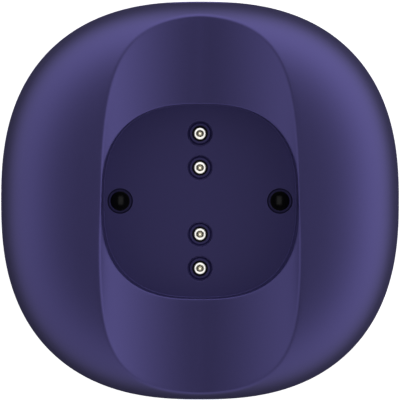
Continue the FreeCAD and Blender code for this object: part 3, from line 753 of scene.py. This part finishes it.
def stud_cutter(contacts, x):
    """The shape of a stud's recess and hole, reaching above and below the pocket's floor."""
    soft = contacts.recess_edge
    radius = contacts.recess_radius
    hole_radius = contacts.stem_radius + contacts.stem_gap
    floor = POCKET_FLOOR - contacts.stud_recess_depth
    profile = [(hole_radius, POCKET_FLOOR - 3 * MM), (hole_radius, floor - soft), (hole_radius + soft, floor)]
    profile += arc(radius - soft, floor + soft, soft, soft, -90, 0, 4)
    profile += [(radius, POCKET_FLOOR - soft), (radius + soft, POCKET_FLOOR),
                (radius + 2.5 * soft, POCKET_FLOOR + 1 * MM)]
    return turned("stud_cutter", profile, x, 0.0)


def inlet_cutter(form):
    """The plug's recess and the socket's opening, with a softened mouth that follows the wall."""
    width = SOCKET_HIGH.x - SOCKET_LOW.x
    height = SOCKET_HIGH.z - SOCKET_LOW.z
    centre = (SOCKET_HIGH.z + SOCKET_LOW.z) / 2
    shape = form.shape
    recess_half_width = shape.plug_half_width
    recess_half_height = shape.plug_half_height
    soft = shape.plug_edge
    gap = 0.15 * MM
    depth = 4 * MM
    skin = Skin()
    floor = SOCKET_HIGH.y

    def outline(half_width, half_height, y):
        """Rounded ends and straight top and bottom, square to Y."""
        turn = np.linspace(0, 2 * math.pi, PLUG_STEPS, endpoint=False)
        straight = half_width - half_height
        x = half_height * np.cos(turn) + np.sign(np.cos(turn)) * straight
        z = centre + half_height * np.sin(turn)
        return np.stack([x, np.broadcast_to(y, x.shape), z], axis=1)

    def wall(points):
        """Depth of the shell's outside behind each point."""
        share = (np.abs(points[:, 0]) / HALF) ** shape.squareness
        level = np.clip((points[:, 2] - form.widest) / shape.dome_height, 0, 1)
        ratio = (1 - level ** shape.dome_fullness) ** (1 / shape.dome_fullness)
        return HALF * (np.maximum(ratio ** shape.squareness - share, 0)) ** (1 / shape.squareness)

    opening = outline(width / 2 + gap, height / 2 + gap, floor - depth)
    first = skin.ring(opening)
    opening_front = opening.copy()
    opening_front[:, 1] = floor
    rings = [opening_front]
    rings.append(outline(recess_half_width - gap, recess_half_height - gap, floor))
    rings.append(outline(recess_half_width, recess_half_height, floor + gap))
    edge_steps = 5
    for step in range(edge_steps + 1):
        turn = math.pi / 2 * step / edge_steps
        grow = soft * (1 - math.cos(turn))
        points = outline(recess_half_width + grow, recess_half_height + grow, floor)
        points[:, 1] = wall(points) - soft * (1 - math.sin(turn))
        rings.append(points)
    outside = outline(recess_half_width + soft, recess_half_height + soft, HALF + 3 * MM)
    rings.append(outside)
    last = skin.chain(rings, first)
    skin.cap(first)
    skin.cap(last)
    return skin.build("inlet_cutter")


class DOCK_OT_upper_shell(bpy.types.Operator):
    """Dome with the channel, the pocket and the inlet's recess"""
    bl_idname = "dock.upper_shell"
    bl_label = "Upper shell"

    def execute(self, context):
        scene = context.scene
        form = BodyForm(scene.dock_shape, OUTLINE_STEPS)
        skin = Skin()
        outside = outer_rings(form)
        first = skin.ring(outside[0])
        floor_edge = skin.chain(outside[1:], first)
        top_holes, low_holes = pocket_holes(skin, scene.dock_contacts)
        skin.fill(floor_edge, top_holes)
        underside_edge = skin.chain(inner_rings(form), first)
        skin.fill(underside_edge, low_holes)
        shell = skin.build("dock_upper_shell")
        for x in (-STUD_X, STUD_X):
            cut_away(shell, stud_cutter(scene.dock_contacts, x))
        cut_away(shell, inlet_cutter(form))
        tidy(shell)
        place_in_frame(shell, "dock", MATERIALS["pearl"], ["upper_shell"])
        return {"FINISHED"}


# ---- lower housing -------------------------------------------------------------------------------
class DOCK_OT_lower_housing(bpy.types.Operator):
    """Bowl-shaped lower shell with its lip, pillars, screw wells and the foot's groove"""
    bl_idname = "dock.lower_housing"
    bl_label = "Lower housing"

    def execute(self, context):
        shape = context.scene.dock_shape
        form = BodyForm(shape, OUTLINE_STEPS)
        angles = form.angles
        bottom = HOUSING_LOW.z
        top = form.widest - shape.parting_gap / 2
        floor = bottom + shape.wall
        flat = squircle(angles, HALF - shape.underside_inset, shape.squareness)
        lip_half = HALF - shape.wall - shape.lip_gap
        lip_outer = squircle(angles, lip_half, shape.squareness)
        lip_inner = squircle(angles, lip_half - shape.lip_thickness, shape.squareness)
        foot_outer = squircle(angles, FOOT_HIGH.x + shape.foot_gap, shape.squareness)
        foot_inner = squircle(angles, FOOT_HIGH.x - shape.foot_width - shape.foot_gap, shape.squareness)
        inner_flat = squircle(angles, HALF - shape.wall - shape.underside_inset, shape.squareness)
        edge = shape.mould_edge
        skin = Skin()
        lip_top = form.widest + shape.lip_height
        inside = [(inner_flat, floor), (lip_inner - 3 * MM, floor + 0.6 * MM), (lip_inner, floor + 3.2 * MM),
                  (lip_inner, lip_top - edge), (lip_inner + edge, lip_top), (lip_outer - edge, lip_top),
                  (lip_outer, lip_top - edge), (lip_outer, top), (form.outline - 2 * edge, top),
                  (form.outline - edge * 0.6, top - edge * 0.4), (form.outline, top - 1.5 * edge)]
        rings = [ring_points(angles, radii, height) for radii, height in inside]
        for step in range(1, BOWL_STEPS + 1):
            turn = math.pi / 2 * step / BOWL_STEPS
            drop = (top - 1.5 * edge - bottom) * math.sin(turn)
            radii = flat + (form.outline - flat) * math.cos(turn)
            rings.append(ring_points(angles, radii, top - 1.5 * edge - drop))
        groove_top = FOOT_HIGH.z
        under = [(foot_outer + edge, bottom), (foot_outer, bottom + edge), (foot_outer, groove_top),
                 (foot_inner, groove_top), (foot_inner, bottom + edge), (foot_inner - edge, bottom)]
        rings += [ring_points(angles, radii, height) for radii, height in under]
        first = skin.ring(rings[0])
        last = skin.chain(rings[1:], first)
        wells = []
        pillars = []
        screw_low, screw_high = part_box("housing_screws")
        head = shape.screw_head
        places_x = (screw_low.x + head, screw_high.x - head)
        places_y = (screw_low.y + head, screw_high.y - head)
        seat = screw_high.z - shape.screw_length
        pillar_top = SOCKET_LOW.z - shape.pillar_drop
        well = head + shape.screw_gap
        hole = shape.screw_hole
        pillar = shape.pillar_radius
        pillar_bevel = 0.1 * MM
        for x in places_x:
            for y in places_y:
                profile = [(well + edge, bottom), (well + edge * 0.3, bottom + edge * 0.3),
                           (well, bottom + edge), (well, seat), (hole, seat), (hole, pillar_top),
                           (pillar - pillar_bevel, pillar_top), (pillar, pillar_top - edge),
                           (pillar, floor)]
                circles = [circle_points(HOLE_STEPS, radius, height, x, y) for radius, height in profile]
                start = skin.ring(circles[0])
                end = skin.chain(circles[1:], start)
                wells.append((start, x, y, profile[0][0]))
                pillars.append((end, x, y, pillar))
        skin.fill(last, wells)
        skin.fill(first, pillars)
        housing = skin.build("dock_lower_housing")
        place_in_frame(housing, "dock", MATERIALS["pearl"], ["lower_housing"])
        return {"FINISHED"}


class DOCK_OT_foot(bpy.types.Operator):
    """Rubber ring that the dock stands on, with two grip grooves"""
    bl_idname = "dock.foot"
    bl_label = "Foot ring"

    def execute(self, context):
        shape = context.scene.dock_shape
        form = BodyForm(shape, OUTLINE_STEPS)
        width = shape.foot_width
        top = FOOT_HIGH.z - 0.01 * MM
        soft = shape.foot_edge
        profile = [(0.0, top)]
        profile += arc(soft, FOOT_LOW.z + soft, -soft, -soft, 0, 90, 3)
        groove = shape.foot_groove
        for centre in (width * 0.38, width * 0.62):
            profile += [(centre - groove, FOOT_LOW.z), (centre - groove * 0.5, FOOT_LOW.z + groove),
                        (centre + groove * 0.5, FOOT_LOW.z + groove), (centre + groove, FOOT_LOW.z)]
        profile += arc(width - soft, FOOT_LOW.z + soft, soft, -soft, 90, 0, 3)
        profile.append((width, top))
        skin = Skin()
        rings = []
        for inset, height in profile:
            outline = squircle(form.angles, FOOT_HIGH.x - inset, shape.squareness)
            rings.append(ring_points(form.angles, outline, height))
        first = skin.ring(rings[0])
        last = skin.chain(rings[1:], first)
        skin.bridge(last, first)
        foot = skin.build("dock_foot_ring")
        place_in_frame(foot, "dock", MATERIALS["foot"], ["foot_ring"])
        return {"FINISHED"}


# ---- contacts ------------------------------------------------------------------------------------
def barrel_profile(contacts):
    """Half section of a barrel: tail, body, rolled rim, mouth and bore."""
    top = POCKET_FLOOR
    rim = contacts.barrel_rim
    inner = contacts.mouth_rim
    profile = [(contacts.tail_radius * 0.8, BARREL_LOW.z), (contacts.tail_radius, BARREL_LOW.z + 0.1 * MM),
               (contacts.tail_radius, BOARD_HIGH.z), (contacts.barrel_radius * 0.95, BOARD_HIGH.z),
               (contacts.barrel_radius, BOARD_HIGH.z + 0.05 * MM)]
    profile += arc(contacts.barrel_radius - rim, top - rim, rim, rim, 0, 90, 8)
    profile += arc(contacts.mouth_radius + inner, top - inner, inner, inner, 90, 180, 5)
    mouth_low = top - contacts.mouth_depth
    bore_low = BOARD_HIGH.z + 0.6 * MM
    profile += [(contacts.mouth_radius, mouth_low), (contacts.bore_radius, mouth_low),
                (contacts.bore_radius, bore_low)]
    return profile


def plunger_profile(contacts, top):
    """Half section of a plunger: pilot, shoulder with a cone above it, and flat-ended tip."""
    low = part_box("pin_plunger_1")[0].z
    shoulder_top = POCKET_FLOOR - contacts.mouth_depth
    shoulder_low = shoulder_top - contacts.shoulder_length
    cone_height = 0.6 * MM
    edge = 0.05 * MM
    profile = [(contacts.pilot_radius * 0.7, low), (contacts.pilot_radius, low + edge),
               (contacts.pilot_radius, shoulder_low), (contacts.shoulder_radius - edge, shoulder_low),
               (contacts.shoulder_radius, shoulder_low + edge),
               (contacts.shoulder_radius, shoulder_top - cone_height), (contacts.tip_radius, shoulder_top)]
    crown = contacts.tip_crown
    soft = contacts.tip_radius - contacts.tip_end
    profile += [(contacts.tip_radius, top - 2 * soft), (contacts.tip_end + soft * 0.6, top - soft * 0.6),
                (contacts.tip_end, top - crown), (contacts.tip_end * 0.5, top - crown * 0.3),
                (contacts.tip_end * 0.1, top)]
    return profile


def coil(name, contacts, low, high):
    """A round-wire compression spring that fills the box of its node."""
    wire = contacts.spring_wire / 2
    centre = (low + high) / 2
    radius = (high.x - low.x) / 2 - wire
    pitch = (high.z - low.z - 2 * wire) / contacts.spring_turns
    section = np.linspace(0.0, 2 * math.pi, 8, endpoint=False)
    reach = radius + wire * np.cos(section)
    rings = []
    for step in range(contacts.spring_turns * COIL_STEPS + 1):
        turn = 2 * math.pi * step / COIL_STEPS
        heights = low.z + wire + pitch * step / COIL_STEPS + wire * np.sin(section)
        x = centre.x + reach * math.cos(turn)
        y = centre.y + reach * math.sin(turn)
        rings.append(np.stack([x, y, heights], axis=1))
    skin = Skin()
    first = skin.ring(rings[0])
    last = skin.chain(rings[1:], first)
    skin.cap(list(reversed(first)))
    skin.cap(last)
    return skin.build(name)


class DOCK_OT_contacts(bpy.types.Operator):
    """Four plated barrels with sprung gold tips"""
    bl_idname = "dock.contacts"
    bl_label = "Charging contacts"

    def execute(self, context):
        contacts = context.scene.dock_contacts
        for number, y in enumerate(CONTACTS, start=1):
            barrel = turned("contact_barrel_%d" % number, barrel_profile(contacts), 0.0, y)
            place_in_frame(barrel, "dock", MATERIALS["plating"], ["pin_barrel_%d" % number])
            plunger = "pin_plunger_%d" % number
            tip = turned("contact_tip_%d" % number, plunger_profile(contacts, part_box(plunger)[1].z), 0.0, y)
            place_in_frame(tip, "contact_%d" % number, MATERIALS["gold"], [plunger])
            low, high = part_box("pin_spring_%d" % number)
            spring = coil("contact_spring_%d" % number, contacts, low, high)
            place_in_frame(spring, "dock", MATERIALS["spring"], ["pin_spring_%d" % number])
            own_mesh(spring)
            paint_node("pin_seal_%d" % number, MATERIALS["seal"])
        return {"FINISHED"}


class DOCK_OT_studs(bpy.types.Operator):
    """Two polished studs, and the magnets under them"""
    bl_idname = "dock.studs"
    bl_label = "Locating studs"

    def execute(self, context):
        contacts = context.scene.dock_contacts
        for side, x in (("left", -STUD_X), ("right", STUD_X)):
            low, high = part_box("locating_stud_" + side)
            radius = (high.x - low.x) / 2
            crown = contacts.stud_crown
            sphere = (radius ** 2 + crown ** 2) / (2 * crown)
            half_angle = math.degrees(math.asin(radius / sphere))
            seat = POCKET_FLOOR - contacts.stud_recess_depth
            soft = contacts.stud_edge
            profile = [(contacts.stem_radius, low.z), (contacts.stem_radius, seat), (radius - soft, seat),
                       (radius, seat + soft), (radius, high.z - crown - soft * 0.6),
                       (radius - soft * 0.15, high.z - crown - soft * 0.1)]
            profile += arc(0.0, high.z - sphere, sphere, sphere, 90 - half_angle * 0.95, 89.0, 16)
            stud = turned("locating_stud_%s_cap" % side, profile, x, 0.0)
            place_in_frame(stud, "dock", MATERIALS["stud"], ["locating_stud_" + side])
            paint_node("holding_magnet_" + side, MATERIALS["magnet"])
        return {"FINISHED"}


# ---- inlet, board and what is inside -------------------------------------------------------------
class DOCK_OT_inlet(bpy.types.Operator):
    """Power socket at the back, with the contact strips on its tongue"""
    bl_idname = "dock.inlet"
    bl_label = "Power inlet"

    def execute(self, context):
        paint_node("socket_shell", MATERIALS["socket"])
        paint_node("socket_tongue", MATERIALS["nylon"])
        low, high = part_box("socket_tongue")
        centre = (low.z + high.z) / 2
        half_thickness = 0.35 * MM
        strip = Vector((0.25 * MM, 3.6 * MM, 0.04 * MM))
        pitch = 0.5 * MM
        set_back = 0.5 * MM
        count = 12
        work = bmesh.new()
        for face in (-1, 1):
            z = centre + face * (half_thickness + strip.z / 2)
            for number in range(count):
                x = (number - (count - 1) / 2) * pitch
                made = bmesh.ops.create_cube(work, size=1.0)
                place = Vector((x, high.y - strip.y / 2 - set_back, z))
                for vertex in made["verts"]:
                    vertex.co = Vector(a * b for a, b in zip(vertex.co, strip)) + place
        bmesh.ops.bevel(work, geom=work.edges[:], offset=0.012 * MM, segments=2, affect="EDGES")
        mesh = bpy.data.meshes.new("socket_contact_strips")
        work.to_mesh(mesh)
        work.free()
        strips = bpy.data.objects.new("socket_contact_strips", mesh)
        context.scene.collection.objects.link(strips)
        tidy(strips)
        dress(strips, MATERIALS["gold"])
        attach(strips, "dock")
        return {"FINISHED"}


class DOCK_OT_inner_parts(bpy.types.Operator):
    """Finishes of the board, the weight, the seals and the screws"""
    bl_idname = "dock.inner_parts"
    bl_label = "Inner parts"

    def execute(self, context):
        finishes = {
            "contact_board": "board", "charge_controller_chip": "chip", "board_inductor": "ferrite",
            "board_capacitors": "ceramic", "board_screws": "screw", "housing_screws": "screw",
            "ballast_plate": "ballast", "ballast_pad": "foam", "parting_seal": "seal",
        }
        for node, finish in finishes.items():
            paint_node(node, MATERIALS[finish])
        return {"FINISHED"}


# ---- stage ---------------------------------------------------------------------------------------
def area_light(name, place, target, size_x, size_y, radiance):
    """A rectangular soft white light of a given radiance, unseen by the camera itself."""
    data = bpy.data.lights.new(name, "AREA")
    data.shape = "RECTANGLE"
    data.size = size_x
    data.size_y = size_y
    data.energy = radiance * math.pi * size_x * size_y
    light = bpy.data.objects.new(name, data)
    light.location = place
    light.rotation_euler = (Vector(target) - Vector(place)).to_track_quat("-Z", "Y").to_euler()
    light.visible_camera = False
    bpy.context.scene.collection.objects.link(light)
    return light


# degrees from straight up, and share of the tent's brightest light
TENT_PROFILE = ((0, 0.06), (12, 0.06), (22, 0.16), (34, 0.4), (48, 0.72), (62, 0.9), (76, 0.96), (95, 0.94),
                (113, 0.53), (132, 0.1), (155, 0.02))


def light_tent(studio):
    """Surroundings like a light tent: dim overhead, bright near the horizon, leaning to one side."""
    world = bpy.data.worlds.new("Light tent")
    world.use_nodes = True
    tree = world.node_tree
    tree.nodes.clear()
    place = add(tree, "ShaderNodeTexCoord")
    parts = add(tree, "ShaderNodeSeparateXYZ", {"Vector": (place, "Generated")})
    share = add(tree, "ShaderNodeMapRange", {"Value": (parts, "Z"), "From Min": 1.0, "From Max": -1.0})
    profile = add(tree, "ShaderNodeValToRGB", {"Fac": (share, "Result")})
    ramp = profile.color_ramp
    while len(ramp.elements) > 1:
        ramp.elements.remove(ramp.elements[-1])
    for number, (angle, level) in enumerate(TENT_PROFILE):
        place_on_ramp = (1 - math.cos(math.radians(angle))) / 2
        stop = ramp.elements.new(place_on_ramp) if number else ramp.elements[0]
        stop.position = place_on_ramp
        stop.color = (level, level, level, 1.0)
    lean = add(tree, "ShaderNodeVectorMath", {0: (place, "Generated"), 1: tuple(studio.tent_lean)},
               operation="DOT_PRODUCT")
    tilt = add(tree, "ShaderNodeMath", {0: (lean, "Value"), 1: 1.0}, operation="ADD")
    level = add(tree, "ShaderNodeMath", {0: (profile, "Color"), 1: (tilt, "Value")}, operation="MULTIPLY")
    strength = add(tree, "ShaderNodeMath", {0: (level, "Value"), 1: studio.world_light}, operation="MULTIPLY")
    glow = add(tree, "ShaderNodeBackground", {"Color": (1.0, 1.0, 1.0, 1.0), "Strength": (strength, "Value")})
    add(tree, "ShaderNodeOutputWorld", {"Surface": (glow, "Background")})
    return world


def sweep_floor(studio):
    """A round paper floor that curves up into an upright wall."""
    skin = Skin()
    count = 128
    radius = studio.floor_radius
    bend_radius = studio.bend_radius
    profile = [(radius * share, 0.0) for share in (0.02, 0.1, 0.3, 0.6)]
    profile += arc(radius - bend_radius, bend_radius, bend_radius, bend_radius, -90, 0, 12)
    profile.append((radius, studio.sweep_height))
    rings = [circle_points(count, size, height) for size, height in profile]
    first = skin.ring(rings[0])
    skin.chain(rings[1:], first)
    skin.cap(first)
    floor = skin.build("paper_floor")
    for polygon in floor.data.polygons:
        if polygon.normal.z < 0 and abs(polygon.normal.z) > 0.9:
            floor.data.flip_normals()
            break
    return floor


class DOCK_OT_stage(bpy.types.Operator):
    """Paper sweep, overhead soft box, surroundings and camera"""
    bl_idname = "dock.stage"
    bl_label = "Stage"

    def execute(self, context):
        scene = context.scene
        studio = scene.dock_studio
        floor = sweep_floor(studio)
        dress(floor, paper_sweep(scene.dock_finish))
        floor.visible_glossy = False
        floor.visible_diffuse = False
        floor.visible_shadow = False
        place = (0.0, 0.0, studio.box_height)
        area_light("overhead_box", place, (0.0, 0.0, 0.0), studio.box_width, studio.box_depth,
                   studio.top_light)
        scene.world = light_tent(studio)
        data = bpy.data.cameras.new("Camera")
        data.lens = studio.lens
        data.sensor_width = studio.sensor_width
        camera = bpy.data.objects.new("Camera", data)
        distance = studio.frame_width * data.lens / data.sensor_width
        tilt = studio.camera_tilt
        aim = Vector((0.0, 0.0, HOUSING_HIGH.z - scene.dock_shape.lip_height))
        camera.location = aim + distance * Vector((0.0, math.sin(tilt), math.cos(tilt)))
        camera.rotation_euler = (-tilt, 0.0, 0.0)
        scene.collection.objects.link(camera)
        scene.camera = camera
        scene.view_settings.view_transform = "Standard"
        return {"FINISHED"}


MATERIALS = {}


class DOCK_OT_finishes(bpy.types.Operator):
    """Makes every material of the dock"""
    bl_idname = "dock.finishes"
    bl_label = "Finishes"

    def execute(self, context):
        finish = context.scene.dock_finish
        MATERIALS["pearl"] = pearl_abs(finish)
        MATERIALS["foot"] = silicone("Silicone rubber, moulded", finish.foot)
        MATERIALS["seal"] = silicone("Silicone seal, moulded", linear("#141417"), 0.6 * MM)
        pitch = 0.12 * MM
        depth = 0.001 * MM
        MATERIALS["plating"] = turned_metal("Brass, turned and bright plated", finish.plating, 0.12,
                                            pitch, depth)
        MATERIALS["gold"] = turned_metal("Brass, turned and gold plated", finish.gold, 0.1, pitch, depth)
        MATERIALS["spring"] = rolled_steel("Spring wire, drawn", finish.steel, 0.3)
        MATERIALS["stud"] = black_acrylic(finish)
        MATERIALS["magnet"] = turned_metal("Magnet, nickel plated", finish.steel, 0.2, 0.3 * MM, 0.001 * MM)
        MATERIALS["socket"] = rolled_steel("Stainless steel, drawn", finish.steel, 0.28)
        MATERIALS["nylon"] = moulded_resin("Black nylon, glass filled", linear("#141416"), 0.55, 0.2 * MM)
        MATERIALS["board"] = solder_mask(finish)
        MATERIALS["chip"] = moulded_resin("Epoxy, transfer moulded", linear("#1c1c1e"), 0.5, 0.15 * MM)
        MATERIALS["ferrite"] = moulded_resin("Ferrite, pressed", linear("#3a3a3e"), 0.6, 0.2 * MM)
        MATERIALS["ceramic"] = moulded_resin("Ceramic, sintered", linear("#a58a63"), 0.45, 0.2 * MM)
        MATERIALS["screw"] = turned_metal("Steel, nickel plated", finish.steel, 0.3, 0.3 * MM, 0.002 * MM)
        MATERIALS["ballast"] = rolled_steel("Steel, zinc plated", linear("#9a9da3"), 0.42, (1.0, 8.0, 1.0))
        MATERIALS["foam"] = foam(finish)
        return {"FINISHED"}


# ---- panel and registration ----------------------------------------------------------------------
STEPS = (DOCK_OT_finishes, DOCK_OT_stage, DOCK_OT_upper_shell, DOCK_OT_lower_housing, DOCK_OT_foot,
         DOCK_OT_contacts, DOCK_OT_studs, DOCK_OT_inlet, DOCK_OT_inner_parts)


class DOCK_PT_panel(bpy.types.Panel):
    """Lists the steps that build the dock"""
    bl_idname = "DOCK_PT_panel"
    bl_label = "Charging dock"
    bl_space_type = "VIEW_3D"
    bl_region_type = "UI"
    bl_category = "Dock"

    def draw(self, context):
        for step in STEPS:
            self.layout.operator(step.bl_idname)
        for name, group in SETTINGS.items():
            box = self.layout.box()
            for field in group.__annotations__:
                box.prop(getattr(context.scene, name), field)


def register():
    for item in (*SETTINGS.values(), *STEPS, DOCK_PT_panel):
        bpy.utils.register_class(item)
    for name, group in SETTINGS.items():
        setattr(bpy.types.Scene, name, PointerProperty(type=group))


def unregister():
    for name in SETTINGS:
        delattr(bpy.types.Scene, name)
    for item in reversed((*SETTINGS.values(), *STEPS, DOCK_PT_panel)):
        bpy.utils.unregister_class(item)


def main():
    register()
    for step in STEPS:
        group, name = step.bl_idname.split(".")
        getattr(getattr(bpy.ops, group), name)()


if __name__ == "__main__":
    main()
